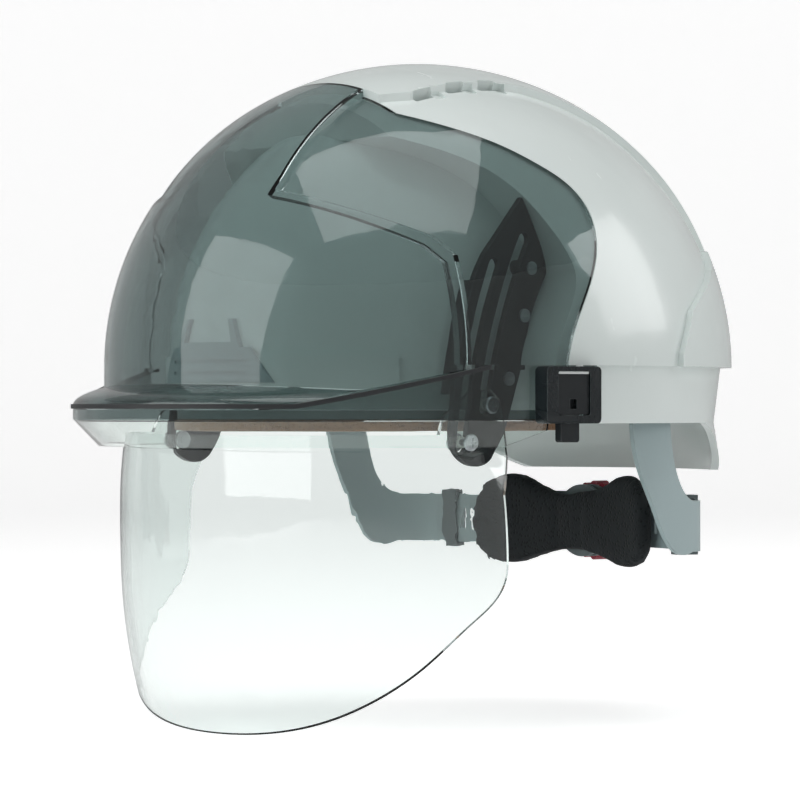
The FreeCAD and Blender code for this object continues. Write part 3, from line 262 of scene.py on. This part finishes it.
def see_through(name, tint, painted_rim_shade, rough, scuffs, passed):
    """Clear or smoke polycarbonate, with painted shade towards the silhouette; lamps reach what is
    behind it.
    """
    material, tree, shader, place = blank(name)
    marks = placed(tree, SCUFFS, place, Amount=scuffs, Size=90.0).outputs["Scuff"]
    skin = placed(tree, GRAIN, place, Size=160.0)
    smear = sums(tree, "MULTIPLY", skin.outputs["Tone"], 0.012)
    gloss = sums(tree, "ADD", sums(tree, "ADD", sums(tree, "MULTIPLY", marks, 0.2), smear), rough)
    bump = add(tree, "ShaderNodeBump", {"Height": skin.outputs["Tone"], "Distance": 0.00006})
    tree.links.new(gloss, shader.inputs["Roughness"])
    tree.links.new(bump.outputs[0], shader.inputs["Normal"])
    # painted shade: the colour darkens where the surface turns away from view, standing in for the
    # dark rims that refraction gives
    turned_away = add(tree, "ShaderNodeLayerWeight", {"Blend": 0.5}).outputs["Facing"]
    tree.links.new(tinted(tree, ranged(tree, turned_away, 0.72, 0.97), (*tint, 1), (*painted_rim_shade, 1)),
                   shader.inputs["Base Color"])
    shader.inputs["Transmission Weight"].default_value = 1.0
    shader.inputs["IOR"].default_value = 1.5
    window = add(tree, "ShaderNodeBsdfTransparent", {"Color": (*passed, 1)})
    lamp = tree.nodes.new("ShaderNodeLightPath").outputs["Is Shadow Ray"]
    mix = tree.nodes.new("ShaderNodeMixShader")
    tree.links.new(lamp, mix.inputs[0])
    tree.links.new(shader.outputs[0], mix.inputs[1])
    tree.links.new(window.outputs[0], mix.inputs[2])
    tree.links.new(mix.outputs[0], tree.nodes["Material Output"].inputs["Surface"])
    return material


def webbing_finish(name, colour, tone, threads):
    """Woven webbing that follows the strap by its own UV map."""
    material, tree, shader, _ = blank(name)
    along = tree.nodes.new("ShaderNodeTexCoord").outputs["UV"]
    cloth = placed(tree, WEAVE, along, Threads=threads)
    shade = tinted(tree, cloth.outputs["Tone"], (*colour, 1), (*tone, 1))
    bump = add(tree, "ShaderNodeBump", {"Height": cloth.outputs["Height"], "Distance": 0.0002})
    tree.links.new(shade, shader.inputs["Base Color"])
    tree.links.new(ranged(tree, cloth.outputs["Height"], 0, 1, 0.9, 0.7),
                   shader.inputs["Roughness"])
    tree.links.new(bump.outputs[0], shader.inputs["Normal"])
    shader.inputs["Sheen Weight"].default_value = 0.3
    shader.inputs["Sheen Roughness"].default_value = 0.4
    return material


def padding_finish(name, colour, tone, pore, sheen):
    """Soft foam-backed cloth: a fine pored surface with painted shade in the pores, uneven in tone.
    """
    material, tree, shader, place = blank(name)
    slow = placed(tree, GRAIN, place, Size=700.0)
    pores = add(tree, "ShaderNodeTexVoronoi", {"Vector": place, "Scale": pore})
    pit = ranged(tree, pores.outputs["Distance"], 0.1, 0.45)
    shade = tinted(tree, slow.outputs["Tone"], (*colour, 1), (*tone, 1))
    # painted shade: the pores are darkened to 0.45 of the colour
    shade = tinted(tree, pit, tuple(0.45 * part for part in colour) + (1,), shade)
    rough = ranged(tree, pit, 0, 1, 0.95, 0.8)
    height = sums(tree, "ADD", pit, sums(tree, "MULTIPLY", slow.outputs["Height"], 0.4))
    bump = add(tree, "ShaderNodeBump", {"Height": height, "Distance": 0.00025})
    tree.links.new(shade, shader.inputs["Base Color"])
    tree.links.new(rough, shader.inputs["Roughness"])
    tree.links.new(bump.outputs[0], shader.inputs["Normal"])
    shader.inputs["Sheen Weight"].default_value = sheen
    shader.inputs["Sheen Roughness"].default_value = 0.5
    return material


# edge is the colour of the painted highlight along sharp edges
FINISHES = {
    "shell_white": moulded("gloss_white_shell", (0.80, 0.87, 0.85), (0.76, 0.83, 0.81), 0.22,
                           grain=320.0, depth=0.000006, scuffs=0.35, dust=0.05, coat=0.35),
    "smoke_clear": see_through("smoke_polycarbonate", (0.32, 0.375, 0.372),
                               (0.15, 0.19, 0.19), 0.0, 0.2, (0.605, 0.655, 0.65)),
    "bezel_smoke": moulded("smoke_black_bezel", (0.005, 0.008, 0.010), (0.009, 0.013, 0.015), 0.25,
                           edge=(0.10, 0.12, 0.12), shine=0.35),
    "visor_clear": see_through("clear_face_shield", (0.84, 0.89, 0.875),
                               (0.28, 0.34, 0.33), 0.0, 0.15, (0.95, 0.97, 0.965)),
    "lip_clear": see_through("clear_peak_lip", (0.90, 0.95, 0.93), (0.35, 0.42, 0.40), 0.01,
                             0.2, (0.95, 0.97, 0.96)),
    "trim_black": moulded("soft_black_trim", (0.010, 0.012, 0.014), (0.018, 0.02, 0.022), 0.5,
                          grain=1100.0, depth=0.00004, edge=(0.06, 0.07, 0.07)),
    "guide_black": moulded("satin_black_guides", (0.002, 0.004, 0.006), (0.005, 0.007, 0.009), 0.34,
                           grain=1000.0, depth=0.00003, edge=(0.07, 0.08, 0.09), scuffs=0.8,
                           dust=0.02, shine=0.22),
    "block_black": moulded("black_slot_block", (0.005, 0.007, 0.009), (0.009, 0.012, 0.014), 0.4,
                           grain=800.0, depth=0.00004, edge=(0.08, 0.09, 0.09), shine=0.25),
    "clip_white": moulded("white_slot_clip", (0.74, 0.78, 0.77), (0.68, 0.72, 0.71), 0.35),
    "screw_steel": moulded("turned_steel", (0.50, 0.52, 0.54), (0.40, 0.42, 0.44), 0.28,
                           grain=2500.0, edge=(0.75, 0.77, 0.78), scuffs=0.9, dust=0.0, metal=1.0),
    "bush_nylon": moulded("natural_nylon", (0.66, 0.67, 0.62), (0.58, 0.59, 0.55), 0.45),
    "band_grey": moulded("grey_headband", (0.19, 0.25, 0.25), (0.15, 0.20, 0.20), 0.42,
                         grain=700.0, depth=0.00004, edge=(0.34, 0.40, 0.40)),
    "harness_grey": moulded("grey_harness", (0.40, 0.50, 0.51), (0.34, 0.43, 0.44), 0.40,
                            grain=700.0, depth=0.00004, edge=(0.38, 0.44, 0.44)),
    "rack_grey": moulded("grey_rack_strap", (0.36, 0.45, 0.46), (0.30, 0.38, 0.39), 0.42,
                         grain=700.0, depth=0.00004, edge=(0.38, 0.44, 0.44)),
    "case_grey": moulded("dark_ratchet_case", (0.10, 0.13, 0.135), (0.075, 0.10, 0.105), 0.40,
                         grain=700.0, depth=0.00004, edge=(0.25, 0.29, 0.29)),
    "pinion_nylon": moulded("cream_pinion", (0.62, 0.60, 0.52), (0.54, 0.52, 0.45), 0.45),
    "knob_red": moulded("red_ratchet_wheel", (0.36, 0.012, 0.035), (0.28, 0.008, 0.026), 0.30,
                        grain=900.0, depth=0.00003, edge=(0.62, 0.10, 0.12), scuffs=0.7, coat=0.2),
}
SWEAT_CLOTH = padding_finish("brown_sweatband", (0.24, 0.125, 0.055), (0.17, 0.09, 0.04), 900.0,
                             0.35)
NAPE_FOAM = padding_finish("black_nape_foam", (0.005, 0.008, 0.010), (0.010, 0.014, 0.016), 650.0,
                           0.03)
STRAP_WEB = webbing_finish("grey_webbing", (0.20, 0.25, 0.25), (0.13, 0.17, 0.17), 900.0)

SLOT_OF = {
    "shell": "shell_white", "shell_skirt": "shell_white", "front_cover": "smoke_clear",
    "peak_lip": "lip_clear", "peak_trim": "trim_black", "visor": "visor_clear",
    "guide_plate_left": "guide_black", "guide_plate_right": "guide_black",
    "guide_screws": "screw_steel", "visor_screws": "screw_steel", "visor_bushes": "bush_nylon",
    "visor_nuts": "screw_steel", "slot_bezel_left": "bezel_smoke",
    "slot_bezel_right": "bezel_smoke", "slot_block_left": "block_black",
    "slot_block_right": "block_black", "slot_clips": "clip_white", "headband": "band_grey",
    "hanger_keys": "harness_grey", "brow_bracket": "harness_grey",
    "side_arm_left": "harness_grey", "side_arm_right": "harness_grey",
    "arm_pegs": "harness_grey", "rack_strap_left": "rack_grey", "rack_strap_right": "rack_grey",
    "ratchet_case_front": "case_grey", "ratchet_case_back": "case_grey",
    "pinion": "pinion_nylon", "ratchet_knob": "knob_red", "click_spring": "screw_steel",
    "knob_screw": "screw_steel", "strap_keeper_left": "case_grey",
    "strap_keeper_right": "case_grey",
}
for node, slot in SLOT_OF.items():
    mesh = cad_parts[node].data
    mesh.materials.clear()
    mesh.materials.append(FINISHES[slot])


# ---------------------------------------------------------------- modelling helpers

def alone(piece):
    """Selects this piece and no other."""
    bpy.ops.object.select_all(action="DESELECT")
    piece.select_set(True)
    bpy.context.view_layer.objects.active = piece


def finished(piece, kind, **settings):
    """Adds a modifier and applies it."""
    alone(piece)
    modifier = piece.modifiers.new(kind.lower(), kind)
    for name, value in settings.items():
        setattr(modifier, name, value)
    bpy.ops.object.modifier_apply(modifier=modifier.name)


def settle(piece):
    """Puts the object's place into its mesh."""
    alone(piece)
    bpy.ops.object.transform_apply(location=True, rotation=True, scale=True)


def started_from(node, name):
    """Merged copy of a solid, for a soft piece to start from."""
    piece = bpy.data.objects.new(name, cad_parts[node].data.copy())
    bpy.context.scene.collection.objects.link(piece)
    piece.data.materials.clear()
    alone(piece)
    bpy.ops.object.mode_set(mode="EDIT")
    bpy.ops.mesh.select_all(action="SELECT")
    bpy.ops.mesh.remove_doubles(threshold=0.00001)
    bpy.ops.mesh.normals_make_consistent(inside=False)
    bpy.ops.object.mode_set(mode="OBJECT")
    return piece


def swell(piece, slimmer, voxel, pressure, most, held):
    """Makes a soft piece slimmer, then fills it with air, as foam fills cloth.

    No point moves further than most, and held says which points stay put."""
    finished(piece, "REMESH", mode="VOXEL", voxel_size=voxel, adaptivity=0.0)
    bpy.ops.object.mode_set(mode="EDIT")
    bpy.ops.mesh.select_all(action="SELECT")
    bpy.ops.transform.shrink_fatten(value=-slimmer)
    bpy.ops.object.mode_set(mode="OBJECT")
    start = [vertex.co.copy() for vertex in piece.data.vertices]
    glued = piece.vertex_groups.new(name="glued")
    glued.add([i for i, co in enumerate(start) if held(co)], 1.0, "REPLACE")
    cloth = piece.modifiers.new("filling", "CLOTH")
    cloth.settings.quality = 6
    cloth.settings.use_pressure = True
    cloth.settings.uniform_pressure_force = pressure
    cloth.settings.vertex_group_mass = "glued"
    cloth.settings.effector_weights.gravity = 0.0
    cloth.collision_settings.use_collision = False
    cloth.point_cache.frame_start, cloth.point_cache.frame_end = 1, FILLING_STEPS
    for step in range(1, FILLING_STEPS + 1):
        bpy.context.scene.frame_set(step)
    bpy.ops.object.modifier_apply(modifier=cloth.name)
    bpy.context.scene.frame_set(1)
    for vertex, was in zip(piece.data.vertices, start):
        moved = vertex.co - was
        if moved.length > most:
            vertex.co = was + moved.normalized() * most
    piece.vertex_groups.clear()


# ---------------------------------------------------------------- sweatband

def make_sweatband():
    """Padded sweatband: hugs the headband inside and rolls under its edge, with two seams."""
    low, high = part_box("sweatband")
    half_x, half_y = high.x, -low.y

    def against_band(co):
        ring = math.hypot(co.x / half_x, co.y / half_y)
        return ring > 0.948 and co.z > low.z + 0.0045

    band = started_from("sweatband", "padded_sweatband")
    swell(band, 0.0005, 0.0014, 3.0, 0.0007, against_band)
    seams = (low.z + 0.0085, high.z - 0.004)
    for vertex in band.data.vertices:
        ring = math.hypot(vertex.co.x / half_x, vertex.co.y / half_y)
        if ring > 0.945:
            continue
        turn = math.atan2(vertex.co.x, -vertex.co.y)
        sink = sum(math.exp(-((vertex.co.z - seam) / SEAM_HALF_WIDTH) ** 2) for seam in seams)
        pucker = 0.5 + 0.5 * math.sin(turn * PUCKERS)
        push = SEAM_DEPTH * sink * (0.7 + 0.3 * pucker)
        vertex.co.x += push * math.sin(turn)
        vertex.co.y -= push * math.cos(turn)
    finished(band, "SMOOTH", factor=0.5, iterations=2)
    finished(band, "SUBSURF", levels=1, render_levels=1)
    band.data.materials.append(SWEAT_CLOTH)
    bpy.ops.object.shade_smooth()
    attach(band, "helmet")
    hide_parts("sweatband")


# ---------------------------------------------------------------- nape pad

def make_nape_pad():
    """Black foam pad against the neck, crowned by its filling, with its back held flat."""
    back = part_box("nape_pad")[1].y - 0.0012

    def on_case(co):
        return co.y > back - 0.1 * abs(co.x)

    pad = started_from("nape_pad", "nape_foam_pad")
    swell(pad, 0.0006, 0.0016, 4.0, 0.0010, on_case)
    finished(pad, "SMOOTH", factor=0.5, iterations=8)
    finished(pad, "SUBSURF", levels=1, render_levels=1)
    pad.data.materials.append(NAPE_FOAM)
    bpy.ops.object.shade_smooth()
    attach(pad, "nape_band")
    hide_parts("nape_pad")


# ---------------------------------------------------------------- cradle straps

def bent_strip(number, turn):
    """Half oval strip over the head, not yet turned to its place or given a thickness."""
    low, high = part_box(f"cradle_strap_{number}")
    rise = high.z - low.z
    reach = 1 / math.hypot(math.cos(turn) / CRADLE_HALF_WIDTH,
                           math.sin(turn) / CRADLE_HALF_LENGTH)
    bpy.ops.object.select_all(action="DESELECT")
    bpy.ops.mesh.primitive_circle_add(vertices=192, radius=1.0, location=(0, 0, 0),
                                      rotation=(math.pi / 2, 0, 0))
    strap = bpy.context.active_object
    strap.name = f"webbing_strap_{number}"
    settle(strap)
    bpy.ops.object.mode_set(mode="EDIT")
    bpy.ops.mesh.select_all(action="SELECT")
    bpy.ops.mesh.bisect(plane_co=(0, 0, 0), plane_no=(0, 0, 1), clear_inner=True)
    bpy.ops.mesh.select_all(action="SELECT")
    bpy.ops.transform.resize(value=(reach - STRAP_WALL / 2, 1, rise - STRAP_WALL / 2),
                             center_override=(0, 0, 0))
    bpy.ops.transform.translate(value=(0, -STRAP_WIDTH / 2, low.z))
    for _ in range(8):
        bpy.ops.mesh.extrude_region_move(
            TRANSFORM_OT_translate={"value": (0, STRAP_WIDTH / 8, 0)})
    bpy.ops.object.mode_set(mode="OBJECT")
    return strap


def make_crown_straps():
    """Three woven straps over the head, each with its edges turned down a little."""
    for number, angle in enumerate(STRAP_ANGLES, start=1):
        turn = math.radians(angle)
        strap = bent_strip(number, turn)
        mesh = strap.data
        unwrapped = mesh.uv_layers.new(name="woven")
        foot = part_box(f"cradle_strap_{number}")[0].z
        for loop in mesh.loops:
            co = mesh.vertices[loop.vertex_index].co
            around = math.atan2(co.z - foot, co.x)
            unwrapped.data[loop.index].uv = (0.1 * around, co.y)
        for vertex in mesh.vertices:
            edge = abs(vertex.co.y) / (STRAP_WIDTH / 2)
            if edge > 0.8:
                vertex.co.z -= 0.0003 * (edge - 0.8) / 0.2
        finished(strap, "SOLIDIFY", thickness=STRAP_CLOTH, offset=0.0)
        finished(strap, "BEVEL", width=0.0003, segments=2, limit_method="ANGLE")
        bpy.ops.object.mode_set(mode="EDIT")
        bpy.ops.mesh.select_all(action="SELECT")
        bpy.ops.transform.rotate(value=-turn, orient_axis="Z", center_override=(0, 0, 0))
        bpy.ops.object.mode_set(mode="OBJECT")
        strap.data.materials.append(STRAP_WEB)
        bpy.ops.object.shade_smooth_by_angle(angle=math.radians(40))
        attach(strap, "helmet")
        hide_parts(f"cradle_strap_{number}")


make_sweatband()
make_nape_pad()
make_crown_straps()


# ---------------------------------------------------------------- floor, light and camera

def seen_straight(tree):
    """1 for what is seen directly or through the clear pieces, 0 for what only lights them."""
    path = tree.nodes.new("ShaderNodeLightPath")
    return sums(tree, "MAXIMUM", path.outputs["Is Camera Ray"],
                path.outputs["Is Transmission Ray"])


def make_floor():
    """Round pale floor that curves up into a wall on every side."""
    bpy.ops.object.select_all(action="DESELECT")
    bpy.ops.mesh.primitive_circle_add(vertices=96, radius=FLOOR_RADIUS, fill_type="TRIFAN",
                                      location=(0, 0, cad_low.z - 0.0005))
    floor = bpy.context.active_object
    floor.name = "pale_floor"
    settle(floor)
    bpy.ops.object.mode_set(mode="EDIT")
    bpy.ops.mesh.select_all(action="SELECT")
    bpy.ops.mesh.region_to_loop()
    radius = FLOOR_RADIUS
    for step in range(1, COVE_STEPS + 1):
        turn = math.pi / 2 * step / COVE_STEPS
        wider = FLOOR_RADIUS + COVE_RADIUS * math.sin(turn)
        lift = COVE_RADIUS * (math.cos(turn - math.pi / 2 / COVE_STEPS) - math.cos(turn))
        bpy.ops.mesh.extrude_region_move(TRANSFORM_OT_translate={"value": (0, 0, lift)})
        bpy.ops.transform.resize(value=(wider / radius, wider / radius, 1),
                                 center_override=(0, 0, 0))
        radius = wider
    bpy.ops.mesh.extrude_region_move(TRANSFORM_OT_translate={"value": (0, 0, WALL_RISE)})
    bpy.ops.mesh.select_all(action="SELECT")
    bpy.ops.mesh.normals_make_consistent(inside=True)
    bpy.ops.object.mode_set(mode="OBJECT")
    bpy.ops.object.shade_smooth_by_angle(angle=math.radians(60))
    material, tree, shader, _ = blank("pale_floor_paper")
    shader.inputs["Base Color"].default_value = (0.90, 0.90, 0.90, 1)
    shader.inputs["Roughness"].default_value = 0.9
    shader.inputs["Emission Color"].default_value = (1, 1, 1, 1)
    tree.links.new(sums(tree, "MULTIPLY", seen_straight(tree), FLOOR_GLOW),
                   shader.inputs["Emission Strength"])
    floor.data.materials.append(material)


def soft_lamp(name, place, width, power):
    """Large square soft lamp that faces the middle of the helmet."""
    aim = Vector((0, 0, 0.02))
    lamp = bpy.data.objects.new(name, bpy.data.lights.new(name, "AREA"))
    lamp.data.shape, lamp.data.size, lamp.data.energy = "SQUARE", width, power
    lamp.location = place
    lamp.rotation_euler = (aim - Vector(place)).to_track_quat("-Z", "Y").to_euler()
    bpy.context.scene.collection.objects.link(lamp)


def make_light():
    """White surroundings and three soft lamps."""
    world = bpy.data.worlds.new("white_studio")
    world.use_nodes = True
    tree = world.node_tree
    sky = tree.nodes["Background"]
    sky.inputs["Color"].default_value = (1, 1, 1, 1)
    tree.links.new(ranged(tree, seen_straight(tree), 0, 1, SKY_LIGHT, 1.0),
                   sky.inputs["Strength"])
    bpy.context.scene.world = world
    soft_lamp("overhead", (0.5, -0.3, 2.2), 2.0, 24)
    soft_lamp("key_left", (-0.5, -2.2, 0.9), 1.9, 24)
    soft_lamp("rim_behind", (1.5, 2.2, 1.1), 1.4, 16)
    bpy.context.scene.view_settings.view_transform = "Standard"


def make_camera():
    """Long lens at helmet height, to the left of its front."""
    heading, distance = math.radians(49), 1.6
    camera = bpy.data.objects.new("camera", bpy.data.cameras.new("camera"))
    camera.location = (distance * math.sin(heading), -distance * math.cos(heading), 0.0104)
    camera.rotation_euler = (math.pi / 2, 0, heading)
    camera.data.lens, camera.data.sensor_width = 180, 36
    camera.data.shift_x, camera.data.shift_y = -0.00625, 0.005
    bpy.context.scene.collection.objects.link(camera)
    bpy.context.scene.camera = camera


make_floor()
make_light()
make_camera()
